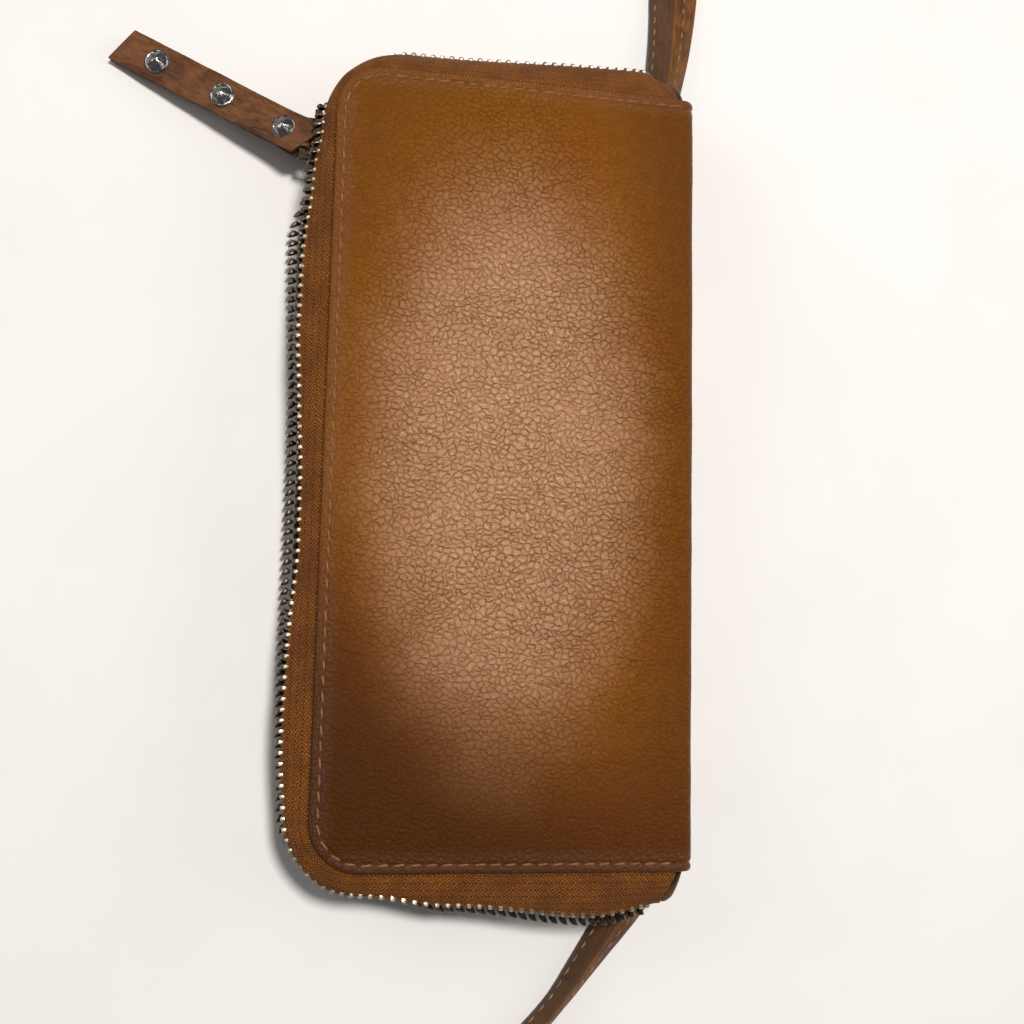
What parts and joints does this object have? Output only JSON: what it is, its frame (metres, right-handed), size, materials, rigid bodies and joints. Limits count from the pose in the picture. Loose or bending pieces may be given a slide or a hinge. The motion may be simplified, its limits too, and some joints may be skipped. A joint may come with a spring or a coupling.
{
  "type": "zip around wallet",
  "caption": "Long leather wallet with a zip round three sides, card pockets, a zipped coin page, a studded leather pull and a leather strap.",
  "frame": {"origin": "middle of the back cover's resting face", "axes": "+X from the zip side to the spine, +Y along the spine towards the end where the slider rests, +Z from the back cover to the front cover"},
  "size_m": [0.2043, 0.3601, 0.025],
  "materials": {
    "cover_leather": "pebbled, satin",
    "pocket_leather": "smooth",
    "pull_leather": "smooth, waxed",
    "strap_leather": "smooth, waxed",
    "lining": "woven",
    "board": "fibre board",
    "zip_tape": "herringbone weave",
    "zip_metal": "antique brass",
    "coin_brass": "antique brass",
    "stud_steel": "polished"
  },
  "bodies": {
    "back": {"back_cover_leather": "cover_leather", "back_cover_board": "board", "back_cover_lining": "lining", "back_pocket_backing": "pocket_leather", "back_card_panel_1": "pocket_leather", "back_card_panel_2": "pocket_leather", "back_card_panel_3": "pocket_leather", "back_card_panel_4": "pocket_leather", "zip_tape_back": "zip_tape", "zip_teeth_back": "zip_metal", "zip_stops_back": "zip_metal", "strap_anchor_upper": "cover_leather", "strap_anchor_lower": "cover_leather", "strap": "strap_leather"},
    "spine": {"spine_leather": "cover_leather", "spine_board": "board", "spine_lining": "lining", "coin_panel_back": "lining", "coin_panel_front": "lining", "coin_gusset_upper": "lining", "coin_gusset_lower": "lining", "coin_spine_strip": "lining", "coin_tape_back": "zip_tape", "coin_tape_front": "zip_tape", "coin_teeth_back": "coin_brass", "coin_teeth_front": "coin_brass", "coin_zip_stops": "coin_brass", "zip_end_tab_upper": "cover_leather", "zip_end_tab_lower": "cover_leather"},
    "front": {"front_cover_leather": "cover_leather", "front_cover_board": "board", "front_cover_lining": "lining", "front_pocket_backing": "pocket_leather", "front_card_panel_1": "pocket_leather", "front_card_panel_2": "pocket_leather", "front_card_panel_3": "pocket_leather", "front_card_panel_4": "pocket_leather", "zip_tape_front": "zip_tape", "zip_teeth_front": "zip_metal", "zip_stops_front": "zip_metal"},
    "slider": {"slider_body": "zip_metal", "slider_bail": "zip_metal"},
    "pull_tab": {"pull_leather": "pull_leather", "pull_studs": "stud_steel", "pull_stud_backs": "stud_steel"},
    "coin_slider": {"coin_slider_body": "coin_brass", "coin_slider_bail": "coin_brass"},
    "coin_pull": {"coin_pull": "coin_brass"}
  },
  "joints": [
    {"name": "spine_fold", "type": "hinge", "parent": "back", "child": "spine", "pos_m": [0.045, 0, 0], "axis": [0, 1, 0], "range_deg": [0, 90]},
    {"name": "front_fold", "type": "hinge", "parent": "spine", "child": "front", "pos_m": [0.045, 0, 0.025], "axis": [0, 1, 0], "range_deg": [0, 90]},
    {"name": "slider_slide", "type": "slide", "parent": "back", "child": "slider", "axis": [0, -1, 0], "range_m": [0, 0.13]},
    {"name": "pull_flap", "type": "hinge", "parent": "slider", "child": "pull_tab", "pos_m": [-0.0528, 0.081, 0.0125], "axis": [0, 1, 0], "range_deg": [-30, 75]},
    {"name": "coin_slide", "type": "slide", "parent": "spine", "child": "coin_slider", "axis": [0, -1, 0], "range_m": [0, 0.13]},
    {"name": "coin_pull_swing", "type": "hinge", "parent": "coin_slider", "child": "coin_pull", "pos_m": [-0.03615, 0.0691, 0.0125], "axis": [0, 0, 1], "range_deg": [-35, 0]}
  ],
  "couplings": [
    {"joint": "front_fold", "follows": "spine_fold", "ratio": 1}
  ]
}
